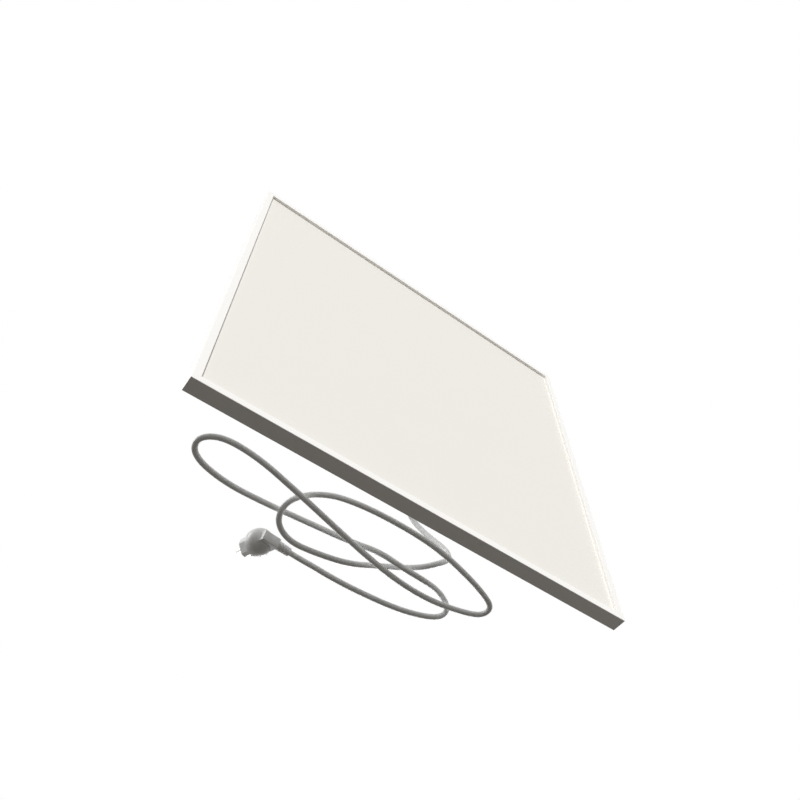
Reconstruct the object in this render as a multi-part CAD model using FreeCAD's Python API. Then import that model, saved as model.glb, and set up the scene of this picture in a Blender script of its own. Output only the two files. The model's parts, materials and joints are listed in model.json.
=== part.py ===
import FreeCAD
import Part
import math
import os

# Infrared panel heater that stands on its lower edge, its mains cord in loose loops behind it.
# Millimetres. X runs along the width, the radiant face looks towards -Y, +Z is up.
# The origin is below the middle of the heater's box, on the surface that it stands on.
# A depth is measured backwards from the front of the frame.

# Frame
panel_width = 600.0
panel_height = 600.0
frame_depth = 20.0
frame_wall = 1.5
lip_width = 10.0
lip_depth = 4.5
lip_front_wall = 1.3
lip_wall = 1.2
outer_edge_radius = 0.7
lip_edge_radius = 0.5
ledge_width = 9.0
ledge_thickness = 1.5
mitre_gap = 0.06
key_leg = 42.0
key_clearance = 0.1
overrun = 3.0

# Radiant plate, heating laminate and insulation
plate_thickness = 1.2
plate_clearance = 0.5
film_thickness = 0.3
film_border = 12.0
track_thickness = 0.2
track_width = 8.0
track_pitch = 17.0
track_runs_each_side = 16
track_low = 34.0
track_high = 548.0
track_top = 570.0
foil_thickness = 0.2
board_clearance = 1.0

# Rear cover and its screws
cover_thickness = 0.8
cover_clearance = 0.3
screw_radius = 1.45
screw_head_radius = 2.8
screw_head_height = 1.8
screw_length = 6.0
screw_clearance = 0.08
screw_recess_radius = 1.1
screw_recess_depth = 1.0
screw_place_shares = (-0.42, 0.0, 0.42)

# Threaded inserts that a wall or ceiling bracket bolts to
insert_spacing_x = 400.0
insert_spacing_z = 400.0
insert_bore_radius = 2.5
insert_radius = 4.5
insert_flange_radius = 6.5
insert_flange_thickness = 1.0
insert_length = 11.0
insert_clearance = 0.3

# Wiring pocket in the insulation, with the track's two tabs in it
pocket_x = 0.0
pocket_z = 152.0
pocket_width = 58.0
pocket_height = 46.0
tab_width = 6.0
tab_height = 8.0
tab_thickness = 0.8
tab_clearance = 0.3

# Thermal cut-out
cutout_z = 140.0
cutout_length = 22.0
cutout_height = 10.0
cutout_wall = 0.9
cutout_floor = 0.8
cutout_cavity = 3.6
cutout_lid_thickness = 0.8
arm_length = 16.0
arm_width = 4.4
arm_thickness = 0.4
arm_rest_gap = 0.02
contact_radius = 1.5
contact_height = 0.6
contact_gap = 0.05
contact_from_root = 14.0
contact_strip_length = 7.0
contact_strip_thickness = 0.4
arm_seat_length = 3.6
cutout_tab_length = 5.0
cutout_tab_width = 4.0
cutout_tab_thickness = 0.6
cutout_tab_lift = 0.5

# Terminal box on the back
terminal_x = 5.0
terminal_z = 146.0
terminal_width = 86.0
terminal_height = 62.0
terminal_depth = 15.0
terminal_wall = 2.0
terminal_corner_radius = 5.0
terminal_edge_radius = 1.5
seal_thickness = 1.0
boss_radius = 3.5
boss_inset = 5.5
boss_screw_length = 18.0
boss_screw_head_sink = 0.4

# Terminal block
block_x = -8.0
block_z = 152.0
block_width = 24.0
block_height = 17.0
block_depth = 11.0
block_pole_spacing = 12.0
block_bore_radius = 2.0
block_bore_depth = 5.5
block_edge_radius = 0.8
clamp_screw_radius = 1.5
clamp_screw_head_radius = 1.9
clamp_screw_head_height = 0.8
clamp_screw_from_middle = 4.2
block_screw_radius = 1.5
block_screw_head_radius = 2.4
block_screw_head_height = 1.2
block_screw_length = 14.0

# Wires and grommet
wire_radius = 1.1
wire_touch = 0.05
wire_in_block = 4.0
grommet_x = -8.0
grommet_z = 168.0
grommet_hole_radius = 4.5
grommet_flange_radius = 6.0
grommet_flange_thickness = 1.0
grommet_bore_radius = 3.0
grommet_wire_offset = 1.45

# Earth bond
earth_x = 30.0
earth_z = 160.0
earth_screw_radius = 2.0
earth_head_radius = 3.6
earth_head_height = 2.6
earth_screw_length = 7.0
earth_nut_radius = 4.0
earth_nut_height = 2.8
earth_ring_radius = 4.2
earth_ring_thickness = 0.8
earth_tongue_length = 9.0
earth_tongue_width = 3.4

# Cord, its bushing and its route
cord_diameter = 7.0
bushing_x = 25.0
bushing_z = 140.0
bushing_collar_radius = 7.5
bushing_collar_thickness = 3.0
bushing_neck_radius = 6.0
bushing_outer_collar_thickness = 2.0
bushing_sleeve_radius = 6.2
bushing_tip_radius = 4.6
bushing_sleeve_length = 20.0
bushing_clearance = 0.05

# Plug
plug_x = -126.1
plug_y = 151.5
plug_heading = 4.0
plug_pin_rise = 26.0
plug_cable_dip = 2.0
flange_radius = 17.0
flange_thickness = 6.0
flange_edge_radius = 0.6
dome_radius = 16.8
dome_middle_radius = 13.6
dome_middle_depth = 15.5
dome_end_radius = 6.5
dome_depth = 21.0
spine_start = -6.8
spine_end = 14.6
spine_width = 12.0
spine_depth = 30.5
spine_edge_radius = 1.0
cable_depth = 24.3
insert_body_radius = 16.0
insert_body_length = 17.5
insert_edge_radius = 0.8
guide_cut = 1.2
pin_radius = 2.4
pin_length = 19.0
pin_spacing = 19.0
pin_tip_radius = 1.6
pin_line_turn = 42.0
earth_recess_width = 24.0
earth_recess_cut = 6.0
earth_recess_length = 15.5
earth_contact_thickness = 1.2
earth_contact_width = 6.0
earth_contact_length = 10.5
tail_length = 18.5
tail_start_radius = 5.9
tail_end_radius = 5.2
tail_groove_depth = 1.6
tail_ribs = 5
tail_rib_share = 0.6
tail_lead = 12.0

# Places that follow from the sizes above
seal_face = frame_depth + seal_thickness
total_depth = seal_face + terminal_depth
front_y = -total_depth / 2
plate_back = lip_depth + plate_thickness
track_front = plate_back + film_thickness
track_back = track_front + track_thickness
film_back = track_back + film_thickness
foil_back = film_back + foil_thickness
ledge_back = frame_depth - cover_thickness
ledge_front = ledge_back - ledge_thickness
cutout_inside = film_back + cutout_floor
cutout_rim = cutout_inside + cutout_cavity
cord_radius = cord_diameter / 2
bushing_tip_depth = total_depth + bushing_outer_collar_thickness + bushing_sleeve_length

# The cord's route from the bushing's tip to the plug's tail, points chosen from the photograph
cord_route = [
    (25, 40, 140),
    (25, 56, 140),
    (33, 72, 132),
    (45, 78, 114),
    (56, 73, 94),
    (67, 61, 68),
    (76, 49, 46),
    (77, 43, 24),
    (66, 47, 14),
    (47, 73, 15),
    (8, 95, 15),
    (-27, 104, 4),
    (-67, 112, 3.6),
    (-105, 115, 3.6),
    (-133, 95.5, 3.6),
    (-134, 68, 15),
    (-105, 38, 15),
    (-66, 22, 4),
    (-9, 20, 3.6),
    (44, 24, 3.6),
    (98, 38, 3.6),
    (137, 52, 3.6),
    (155, 63, 3.6),
    (154, 79.5, 3.6),
    (132, 88.5, 3.6),
    (85, 96.5, 3.6),
    (31, 92, 3.6),
    (-23, 79, 3.6),
    (-81, 63, 3.6),
    (-138, 47, 3.6),
    (-193, 32.5, 3.6),
    (-239, 30.5, 3.6),
    (-260.5, 48.5, 3.6),
    (-250, 72, 3.6),
    (-205, 84, 4),
    (-151, 91, 15),
    (-97, 87, 15),
    (-40, 83, 15),
    (-4, 76, 15),
    (30, 72.5, 4),
    (60, 75, 4),
    (90, 86, 15),
    (113, 97, 15),
    (123, 107, 14),
    (116, 117.5, 8),
    (94, 124.5, 4),
    (57, 131.6, 3.6),
    (-1, 134.6, 3.6),
    (-38, 134, 4.2),
    (-60, 133.4, 6),
]


def at(x, depth, z):
    """A point given by its depth behind the front of the frame."""
    return FreeCAD.Vector(x, front_y + depth, z)


def slab(x, z, width, height, front, back):
    """A box centred on x and z between two depths."""
    corner = at(x - width / 2, front, z - height / 2)
    return Part.makeBox(width, back - front, height, corner)


def rod(radius, x, z, front, back):
    """A round bar along the depth."""
    return Part.makeCylinder(radius, back - front, at(x, front, z), FreeCAD.Vector(0, 1, 0))


def drill(radius, x, z, front, back):
    """A rod that runs past both depths, to cut a hole with."""
    return rod(radius, x, z, front - overrun, back + overrun)


def polygon(points):
    """A closed flat face through the points."""
    return Part.Face(Part.makePolygon(list(points) + [points[0]]))


def revolved(points, centre, axis):
    """A solid of revolution of an outline that touches the axis."""
    return polygon(points).revolve(centre, axis, 360)


def rounded_path(points):
    """Straight runs joined by tangent arcs, each as large as its two runs allow, and the arcs' radii."""
    run_share = 0.45
    edges = []
    radii = []
    start = points[0]
    for before, corner, after in zip(points, points[1:], points[2:]):
        back = (before - corner).normalize()
        ahead = (after - corner).normalize()
        half_turn = (math.pi - back.getAngle(ahead)) / 2
        trim = run_share * min((before - corner).Length, (after - corner).Length)
        radius = trim / math.tan(half_turn)
        inward = (back + ahead).normalize()
        enter = corner + back * trim
        leave = corner + ahead * trim
        middle = corner + inward * (radius / math.cos(half_turn) - radius)
        edges.append(Part.LineSegment(start, enter).toShape())
        edges.append(Part.Arc(enter, middle, leave).toShape())
        radii.append(radius)
        start = leave
    edges.append(Part.LineSegment(start, points[-1]).toShape())
    return Part.Wire(edges), radii


def tube(points, radius):
    """A round tube along the rounded path through the points."""
    path, radii = rounded_path(points)
    section = Part.Wire(Part.makeCircle(radius, points[0], points[1] - points[0]))
    solid = path.makePipeShell([section], True, False)
    return solid, path.Length, radii


def pan_screw(x, z, seat, length):
    """A pan-head screw driven forwards, with a round drive recess, its head behind the seat."""
    head = rod(screw_head_radius, x, z, seat, seat + screw_head_height)
    shank = rod(screw_radius, x, z, seat - length, seat)
    recess_front = seat + screw_head_height - screw_recess_depth
    recess = rod(screw_recess_radius, x, z, recess_front, seat + screw_head_height + overrun)
    return head.fuse(shank).removeSplitter().cut(recess)


def screw_hole(x, z):
    """The hole that a cover screw passes through."""
    return drill(screw_radius + screw_clearance, x, z, ledge_front, frame_depth)


def frame_section():
    """The bar's hollow section, its outer face down at z of 0."""
    def corner_arc(s, depth, s_step, depth_step, radius):
        reach = radius * math.sqrt(0.5)
        return at(0, depth + depth_step * reach, s + s_step * reach)

    outer_mid = corner_arc(outer_edge_radius, outer_edge_radius, -1, -1, outer_edge_radius)
    lip_mid = corner_arc(lip_width - lip_edge_radius, lip_edge_radius, 1, -1, lip_edge_radius)
    outline = [
        at(0, lip_edge_radius, lip_width),
        at(0, lip_depth, lip_width),
        at(0, lip_depth, frame_wall),
        at(0, ledge_front, frame_wall),
        at(0, ledge_front, ledge_width),
        at(0, ledge_back, ledge_width),
        at(0, ledge_back, frame_wall),
        at(0, frame_depth, frame_wall),
        at(0, frame_depth, 0),
        at(0, outer_edge_radius, 0),
    ]
    edges = []
    for first, second in zip(outline, outline[1:]):
        edges.append(Part.LineSegment(first, second).toShape())
    outer_end = at(0, 0, outer_edge_radius)
    lip_start = at(0, 0, lip_width - lip_edge_radius)
    edges.append(Part.Arc(outline[-1], outer_mid, outer_end).toShape())
    edges.append(Part.LineSegment(outer_end, lip_start).toShape())
    edges.append(Part.Arc(lip_start, lip_mid, outline[0]).toShape())
    chamber = [
        at(0, lip_front_wall, frame_wall),
        at(0, lip_front_wall, lip_width - lip_wall),
        at(0, lip_depth - lip_wall, lip_width - lip_wall),
        at(0, lip_depth - lip_wall, frame_wall),
    ]
    face = Part.Face(Part.Wire(edges))
    return face.cut(polygon(chamber))


def frame_bar(length):
    """One mitred bar along X with its outer face at z of 0, and its three pilot holes."""
    section = frame_section()
    section.translate(FreeCAD.Vector(-length / 2, 0, 0))
    bar = section.extrude(FreeCAD.Vector(length, 0, 0))
    half = length / 2 - mitre_gap
    tall = max(lip_width, ledge_width) + overrun
    wedge = polygon([
        at(-half, -overrun, 0),
        at(half, -overrun, 0),
        at(half - tall, -overrun, tall),
        at(-half + tall, -overrun, tall),
    ])
    wedge = wedge.extrude(FreeCAD.Vector(0, frame_depth + 2 * overrun, 0))
    bar = bar.common(wedge)
    for share in screw_place_shares:
        bar = bar.cut(screw_hole(share * length, screw_row))
    return bar


def turned(shape, angle, x, z):
    """A copy turned about the depth axis and then moved."""
    copy = shape.copy()
    copy.rotate(FreeCAD.Vector(0, 0, 0), FreeCAD.Vector(0, 1, 0), angle)
    copy.translate(FreeCAD.Vector(x, 0, z))
    return copy


def corner_key(x_side, z_side):
    """A flat L that fills the lip's hollow on both sides of one mitre."""
    front = lip_front_wall + key_clearance
    back = lip_depth - lip_wall - key_clearance
    near = frame_wall + key_clearance
    far = lip_width - lip_wall - key_clearance
    steps = [(near, near), (key_leg, near), (key_leg, far), (far, far), (far, key_leg), (near, key_leg)]
    low_z = 0 if z_side < 0 else panel_height
    points = []
    for along, up in steps:
        points.append(at(x_side * (panel_width / 2 - along), front, low_z - z_side * up))
    return polygon(points).extrude(FreeCAD.Vector(0, back - front, 0))


def heating_track():
    """An etched strip: upright runs from each tab outwards, joined across the top."""
    strips = []
    for side in (-1, 1):
        for run in range(1, track_runs_each_side + 1):
            x = side * run * track_pitch
            top = pocket_z + tab_height / 2 if run == 1 else track_high
            top = track_top if run == track_runs_each_side else top
            middle = (track_low + top) / 2
            strips.append(slab(x, middle, track_width, top - track_low, track_front, track_back))
        for run in range(1, track_runs_each_side):
            z = track_low + track_width / 2 if run % 2 else track_high - track_width / 2
            x = side * (run + 0.5) * track_pitch
            strips.append(slab(x, z, track_pitch + track_width, track_width, track_front, track_back))
    across = 2 * track_runs_each_side * track_pitch + track_width
    strips.append(slab(0, track_top - track_width / 2, across, track_width, track_front, track_back))
    return strips[0].multiFuse(strips[1:]).removeSplitter()


def insert_places():
    """The four places of the threaded inserts."""
    places = []
    for x_side in (-0.5, 0.5):
        for z_side in (-0.5, 0.5):
            x = x_side * insert_spacing_x
            z = panel_height / 2 + z_side * insert_spacing_z
            places.append((x, z))
    return places


def boss_places():
    """The two opposite corners of the terminal cover that hold its screws."""
    x_reach = terminal_width / 2 - terminal_wall - boss_inset
    z_reach = terminal_height / 2 - terminal_wall - boss_inset
    return [(terminal_x - x_reach, terminal_z - z_reach), (terminal_x + x_reach, terminal_z + z_reach)]


def cover_screw_places():
    """Three screws along each side of the rear cover."""
    places = []
    for share in screw_place_shares:
        x = share * panel_width
        z = panel_height / 2 + share * panel_height
        places.append((x, screw_row))
        places.append((x, panel_height - screw_row))
        places.append((screw_row - panel_width / 2, z))
        places.append((panel_width / 2 - screw_row, z))
    return places


def plug_placed(shape):
    """A plug piece, modelled with its cable along +X and its pins along +Y, laid where the plug lies."""
    placed = shape.copy()
    placed.Placement = plug_placement.multiply(placed.Placement)
    return placed


def pin_line(distance, height):
    """A point on the line through both pins, at a distance from the middle."""
    angle = math.radians(pin_line_turn)
    return FreeCAD.Vector(distance * math.cos(angle), height, distance * math.sin(angle))


def radial_block(turn, inner, outer, width, low, high):
    """A block that runs outwards from the plug's axis, turned about it."""
    block = Part.makeBox(outer - inner, high - low, width, FreeCAD.Vector(inner, low, -width / 2))
    block.rotate(FreeCAD.Vector(0, 0, 0), FreeCAD.Vector(0, 1, 0), -turn)
    return block


def plug_body():
    """The flange, the domed grip behind it and the spine that the cable enters."""
    axis = FreeCAD.Vector(0, 1, 0)
    base = FreeCAD.Vector(0, -flange_thickness, 0)
    flange = Part.makeCylinder(flange_radius, flange_thickness, base, axis)
    flange = flange.makeFillet(flange_edge_radius, flange.Edges)
    rim = FreeCAD.Vector(dome_radius, -flange_thickness, 0)
    middle = FreeCAD.Vector(dome_middle_radius, -dome_middle_depth, 0)
    end = FreeCAD.Vector(dome_end_radius, -dome_depth, 0)
    tip = FreeCAD.Vector(0, -dome_depth, 0)
    outline = [
        Part.LineSegment(base, rim).toShape(),
        Part.Arc(rim, middle, end).toShape(),
        Part.LineSegment(end, tip).toShape(),
        Part.LineSegment(tip, base).toShape(),
    ]
    dome = Part.Face(Part.Wire(outline)).revolve(FreeCAD.Vector(0, 0, 0), axis, 360)
    corner = FreeCAD.Vector(spine_start, -spine_depth, -spine_width / 2)
    spine = Part.makeBox(spine_end - spine_start, spine_depth - flange_thickness, spine_width, corner)
    rear_edges = [e for e in spine.Edges if e.CenterOfMass.y < -(spine_depth + flange_thickness) / 2]
    spine = spine.makeFillet(spine_edge_radius, rear_edges)
    return flange.multiFuse([dome, spine]).removeSplitter()


def plug_insert():
    """The round front that goes into a socket, with two guide flats and two wide earth recesses."""
    axis = FreeCAD.Vector(0, 1, 0)
    body = Part.makeCylinder(insert_body_radius, insert_body_length, FreeCAD.Vector(0, 0, 0), axis)
    front_edges = [e for e in body.Edges if e.CenterOfMass.y > insert_body_length / 2 and e.Closed]
    body = body.makeFillet(insert_edge_radius, front_edges)
    far = insert_body_radius + overrun
    past_front = insert_body_length + overrun
    flat = insert_body_radius - guide_cut
    slot_inner = insert_body_radius - earth_recess_cut
    slot_start = insert_body_length - earth_recess_length
    for turn in (pin_line_turn, pin_line_turn + 180):
        cut = radial_block(turn, flat, far, 2 * far, 0, past_front)
        slot = radial_block(turn + 90, slot_inner, far, earth_recess_width, slot_start, past_front)
        body = body.cut(cut).cut(slot)
    return body


def plug_pins():
    """Two round pins with eased tips."""
    pins = []
    for side in (-0.5, 0.5):
        foot = pin_line(side * pin_spacing, insert_body_length)
        pin = Part.makeCylinder(pin_radius, pin_length, foot, FreeCAD.Vector(0, 1, 0))
        tip = insert_body_length + pin_length / 2
        tip_edges = [e for e in pin.Edges if e.Closed and e.CenterOfMass.y > tip]
        pins.append(pin.makeFillet(pin_tip_radius, tip_edges))
    return Part.makeCompound(pins)


def plug_earth_contacts():
    """Two springy strips that lie on the floors of the earth recesses."""
    contacts = []
    inner = insert_body_radius - earth_recess_cut
    low = insert_body_length - earth_contact_length
    for turn in (pin_line_turn + 90, pin_line_turn + 270):
        outer = inner + earth_contact_thickness
        contacts.append(radial_block(turn, inner, outer, earth_contact_width, low, insert_body_length))
    return Part.makeCompound(contacts)


def plug_tail():
    """A tapered, ribbed sleeve along the cable."""
    points = [FreeCAD.Vector(0, 0, 0)]
    pitch = tail_length / tail_ribs
    slope = (tail_start_radius - tail_end_radius) / tail_length
    for rib in range(tail_ribs):
        start = rib * pitch
        edge = start + tail_rib_share * pitch
        points.append(FreeCAD.Vector(start, tail_start_radius - slope * start, 0))
        points.append(FreeCAD.Vector(edge, tail_start_radius - slope * edge, 0))
        points.append(FreeCAD.Vector(edge, tail_start_radius - slope * edge - tail_groove_depth, 0))
        stop = start + pitch
        points.append(FreeCAD.Vector(stop, tail_start_radius - slope * stop - tail_groove_depth, 0))
    points.append(FreeCAD.Vector(tail_length, 0, 0))
    tail = revolved(points, FreeCAD.Vector(0, 0, 0), FreeCAD.Vector(1, 0, 0))
    tail.translate(FreeCAD.Vector(spine_end, -cable_depth, 0))
    return tail


def cord_bushing():
    """A strain relief: a collar inside the cover, a neck through its wall and a tapered sleeve."""
    inside = total_depth - terminal_wall
    collar_front = inside - bushing_collar_thickness
    outer_collar = total_depth + bushing_outer_collar_thickness
    outline = [
        (0, collar_front),
        (bushing_collar_radius, collar_front),
        (bushing_collar_radius, inside),
        (bushing_neck_radius, inside),
        (bushing_neck_radius, total_depth),
        (bushing_collar_radius, total_depth),
        (bushing_collar_radius, outer_collar),
        (bushing_sleeve_radius, outer_collar),
        (bushing_tip_radius, bushing_tip_depth),
        (0, bushing_tip_depth),
    ]
    points = [at(bushing_x + radius, depth, bushing_z) for radius, depth in outline]
    return revolved(points, at(bushing_x, 0, bushing_z), FreeCAD.Vector(0, 1, 0))


def terminal_slab(inset, front, back):
    """The terminal box's outline with rounded corners, drawn in by an inset, between two depths."""
    width = terminal_width - 2 * inset
    height = terminal_height - 2 * inset
    block = slab(terminal_x, terminal_z, width, height, front, back)
    thin = overrun
    along_depth = [e for e in block.Edges if max(e.BoundBox.XLength, e.BoundBox.ZLength) < thin]
    return block.makeFillet(terminal_corner_radius - inset, along_depth)


def terminal_cover():
    """A moulded box, open towards the panel, with two screw bosses and the bushing's hole."""
    box = terminal_slab(0, seal_face, total_depth)
    rear = [e for e in box.Edges if e.CenterOfMass.y > front_y + total_depth - terminal_edge_radius]
    box = box.makeFillet(terminal_edge_radius, rear)
    inside = total_depth - terminal_wall
    cover = box.cut(terminal_slab(terminal_wall, seal_face - overrun, inside))
    head_room = screw_head_radius + screw_clearance
    head_seat = total_depth - boss_screw_head_sink - screw_head_height
    for x, z in boss_places():
        cover = cover.fuse(rod(boss_radius, x, z, frame_depth, inside))
        cover = cover.cut(drill(screw_radius + screw_clearance, x, z, frame_depth, total_depth))
        cover = cover.cut(rod(head_room, x, z, head_seat, total_depth + overrun))
    hole = drill(bushing_neck_radius + bushing_clearance, bushing_x, bushing_z, inside, total_depth)
    return cover.cut(hole).removeSplitter()


def terminal_seal():
    """A flat ring of foam under the terminal cover's rim."""
    outer = terminal_slab(0, frame_depth, seal_face)
    return outer.cut(terminal_slab(terminal_wall, frame_depth - overrun, seal_face + overrun))


def pole_places():
    """The two poles of the terminal block."""
    return [block_x - block_pole_spacing / 2, block_x + block_pole_spacing / 2]


def clamp_screw_places():
    """Two clamp screws in each pole."""
    return [(x, block_z + side * clamp_screw_from_middle) for x in pole_places() for side in (-1, 1)]


def terminal_block():
    """A two-pole block with a wire bore through each pole."""
    back = frame_depth + block_depth
    block = slab(block_x, block_z, block_width, block_height, frame_depth, back)
    behind = [e for e in block.Edges if e.CenterOfMass.y > front_y + frame_depth]
    block = block.makeFillet(block_edge_radius, behind)
    up = FreeCAD.Vector(0, 0, 1)
    low = block_z - block_height / 2 - overrun
    for x in pole_places():
        start = at(x, frame_depth + block_bore_depth, low)
        block = block.cut(Part.makeCylinder(block_bore_radius, block_height + 2 * overrun, start, up))
    for x, z in clamp_screw_places():
        hole_radius = clamp_screw_radius + screw_clearance
        block = block.cut(rod(hole_radius, x, z, frame_depth + block_bore_depth, back + overrun))
    return block.cut(drill(block_screw_radius + screw_clearance, block_x, block_z, frame_depth, back))


def headed_screw(x, z, seat, length, radius, head_radius, head_height):
    """A plain screw driven forwards, its head behind the seat."""
    head = rod(head_radius, x, z, seat, seat + head_height)
    return head.fuse(rod(radius, x, z, seat - length, seat)).removeSplitter()


def hexagon(x, z, radius, front, back):
    """A hexagonal nut blank along the depth."""
    points = []
    for corner in range(6):
        angle = math.pi / 3 * corner
        points.append(at(x + radius * math.cos(angle), front, z + radius * math.sin(angle)))
    return polygon(points).extrude(FreeCAD.Vector(0, back - front, 0))


def cutout_case():
    """A tray with the arm's seat inside."""
    tray = slab(pocket_x, cutout_z, cutout_length, cutout_height, film_back, cutout_rim)
    inner_length = cutout_length - 2 * cutout_wall
    inner_height = cutout_height - 2 * cutout_wall
    past_rim = cutout_rim + overrun
    tray = tray.cut(slab(pocket_x, cutout_z, inner_length, inner_height, cutout_inside, past_rim))
    seat_x = pocket_x - inner_length / 2 + arm_seat_length / 2
    seat = slab(seat_x, cutout_z, arm_seat_length, inner_height, cutout_inside, arm_front - arm_rest_gap)
    return tray.fuse(seat).removeSplitter()


def wire(points):
    """An insulated wire through points given as x, depth and z."""
    return tube([at(*point) for point in points], wire_radius)[0]


# Frame, keys and plate
screw_row = (frame_wall + ledge_width) / 2
half_width = panel_width / 2
across_bar = frame_bar(panel_width)
upright_bar = frame_bar(panel_height)
nodes = {}
nodes["frame_bottom"] = turned(across_bar, 0, 0, 0)
nodes["frame_top"] = turned(across_bar, 180, 0, panel_height)
nodes["frame_left"] = turned(upright_bar, 90, -half_width, panel_height / 2)
nodes["frame_right"] = turned(upright_bar, -90, half_width, panel_height / 2)
for z_name, z_side in (("bottom", -1), ("top", 1)):
    for x_name, x_side in (("left", -1), ("right", 1)):
        nodes["corner_key_" + z_name + "_" + x_name] = corner_key(x_side, z_side)

middle_z = panel_height / 2
plate_border = frame_wall + plate_clearance
plate_width = panel_width - 2 * plate_border
plate_height = panel_height - 2 * plate_border
nodes["radiant_plate"] = slab(0, middle_z, plate_width, plate_height, lip_depth, plate_back)

# Heating laminate and reflector
film_width = plate_width - 2 * film_border
film_height = plate_height - 2 * film_border
tab_places = [(-track_pitch, pocket_z), (track_pitch, pocket_z)]
nodes["film_front"] = slab(0, middle_z, film_width, film_height, plate_back, track_front)
nodes["heating_track"] = heating_track()
film_rear = slab(0, middle_z, film_width, film_height, track_back, film_back)
for x, z in tab_places:
    hole_width = tab_width + 2 * tab_clearance
    hole_height = tab_height + 2 * tab_clearance
    film_rear = film_rear.cut(slab(x, z, hole_width, hole_height, track_front, film_back + overrun))
nodes["film_rear"] = film_rear
tabs = [slab(x, z, tab_width, tab_height, track_back, track_back + tab_thickness) for x, z in tab_places]
nodes["track_tabs"] = Part.makeCompound(tabs)
pocket = slab(pocket_x, pocket_z, pocket_width, pocket_height, film_back, ledge_back)
foil = slab(0, middle_z, film_width, film_height, film_back, foil_back)
nodes["reflector_foil"] = foil.cut(pocket)

# Insulation board, with room for the pocket, inserts, nut and screw ends
board_border = max(ledge_width, lip_width) + board_clearance
board_width = panel_width - 2 * board_border
board_height = panel_height - 2 * board_border
board = slab(0, middle_z, board_width, board_height, foil_back, ledge_back)
board = board.cut(pocket)
for x, z in insert_places():
    board = board.cut(drill(insert_radius + insert_clearance, x, z, foil_back, ledge_back))
for x, z in boss_places():
    board = board.cut(drill(screw_radius + insert_clearance, x, z, foil_back, ledge_back))
nut_room = earth_nut_radius + insert_clearance
board = board.cut(drill(nut_room, earth_x, earth_z, foil_back, ledge_back))
nodes["insulation_board"] = board.removeSplitter()

# Rear cover, its screws and the mounting inserts
cover_border = frame_wall + cover_clearance
cover_width = panel_width - 2 * cover_border
cover_height = panel_height - 2 * cover_border
cover = slab(0, middle_z, cover_width, cover_height, ledge_back, frame_depth)
for x, z in cover_screw_places() + boss_places():
    cover = cover.cut(screw_hole(x, z))
for radius, x, z in (
    [(insert_radius + screw_clearance, x, z) for x, z in insert_places()]
    + [(grommet_hole_radius + screw_clearance, grommet_x, grommet_z)]
    + [(earth_screw_radius + screw_clearance, earth_x, earth_z)]
    + [(block_screw_radius + screw_clearance, block_x, block_z)]
):
    cover = cover.cut(drill(radius, x, z, ledge_back, frame_depth))
nodes["rear_cover"] = cover
cover_screws = [pan_screw(x, z, frame_depth, screw_length) for x, z in cover_screw_places()]
nodes["cover_screws"] = Part.makeCompound(cover_screws)
inserts = []
for x, z in insert_places():
    flange_back = frame_depth + insert_flange_thickness
    body = rod(insert_flange_radius, x, z, frame_depth, flange_back)
    body = body.fuse(rod(insert_radius, x, z, frame_depth - insert_length, frame_depth)).removeSplitter()
    bore_front = frame_depth - insert_length - overrun
    inserts.append(body.cut(rod(insert_bore_radius, x, z, bore_front, flange_back + overrun)))
nodes["mounting_inserts"] = Part.makeCompound(inserts)

# Terminal box
nodes["terminal_cover"] = terminal_cover()
nodes["terminal_seal"] = terminal_seal()
head_seat = total_depth - boss_screw_head_sink - screw_head_height
boss_screws = [pan_screw(x, z, head_seat, boss_screw_length) for x, z in boss_places()]
nodes["terminal_cover_screws"] = Part.makeCompound(boss_screws)
nodes["terminal_block"] = terminal_block()
block_back = frame_depth + block_depth
clamp_length = block_depth - block_bore_depth - wire_radius - wire_touch
clamp_screws = []
for x, z in clamp_screw_places():
    clamp_screws.append(headed_screw(
        x, z, block_back, clamp_length,
        clamp_screw_radius, clamp_screw_head_radius, clamp_screw_head_height,
    ))
nodes["clamp_screws"] = Part.makeCompound(clamp_screws)
nodes["block_screw"] = headed_screw(
    block_x, block_z, block_back, block_screw_length,
    block_screw_radius, block_screw_head_radius, block_screw_head_height,
)
grommet_front = ledge_back - grommet_flange_thickness
grommet_back = frame_depth + grommet_flange_thickness
grommet = rod(grommet_hole_radius, grommet_x, grommet_z, ledge_back, frame_depth)
grommet = grommet.fuse(rod(grommet_flange_radius, grommet_x, grommet_z, grommet_front, ledge_back))
grommet = grommet.fuse(rod(grommet_flange_radius, grommet_x, grommet_z, frame_depth, grommet_back))
grommet_bore = drill(grommet_bore_radius, grommet_x, grommet_z, grommet_front, grommet_back)
nodes["lead_grommet"] = grommet.removeSplitter().cut(grommet_bore)

# Earth bond
ring_back = frame_depth + earth_ring_thickness
ring = rod(earth_ring_radius, earth_x, earth_z, frame_depth, ring_back)
tongue_z = earth_z - earth_tongue_length / 2
ring = ring.fuse(slab(earth_x, tongue_z, earth_tongue_width, earth_tongue_length, frame_depth, ring_back))
ring_hole = drill(earth_screw_radius + screw_clearance, earth_x, earth_z, frame_depth, ring_back)
nodes["earth_ring"] = ring.removeSplitter().cut(ring_hole)
nodes["earth_screw"] = headed_screw(
    earth_x, earth_z, ring_back, earth_screw_length,
    earth_screw_radius, earth_head_radius, earth_head_height,
)
nut = hexagon(earth_x, earth_z, earth_nut_radius, ledge_back - earth_nut_height, ledge_back)
nut_hole = drill(earth_screw_radius + screw_clearance, earth_x, earth_z, ledge_front, ledge_back)
nodes["earth_nut"] = nut.cut(nut_hole)

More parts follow.
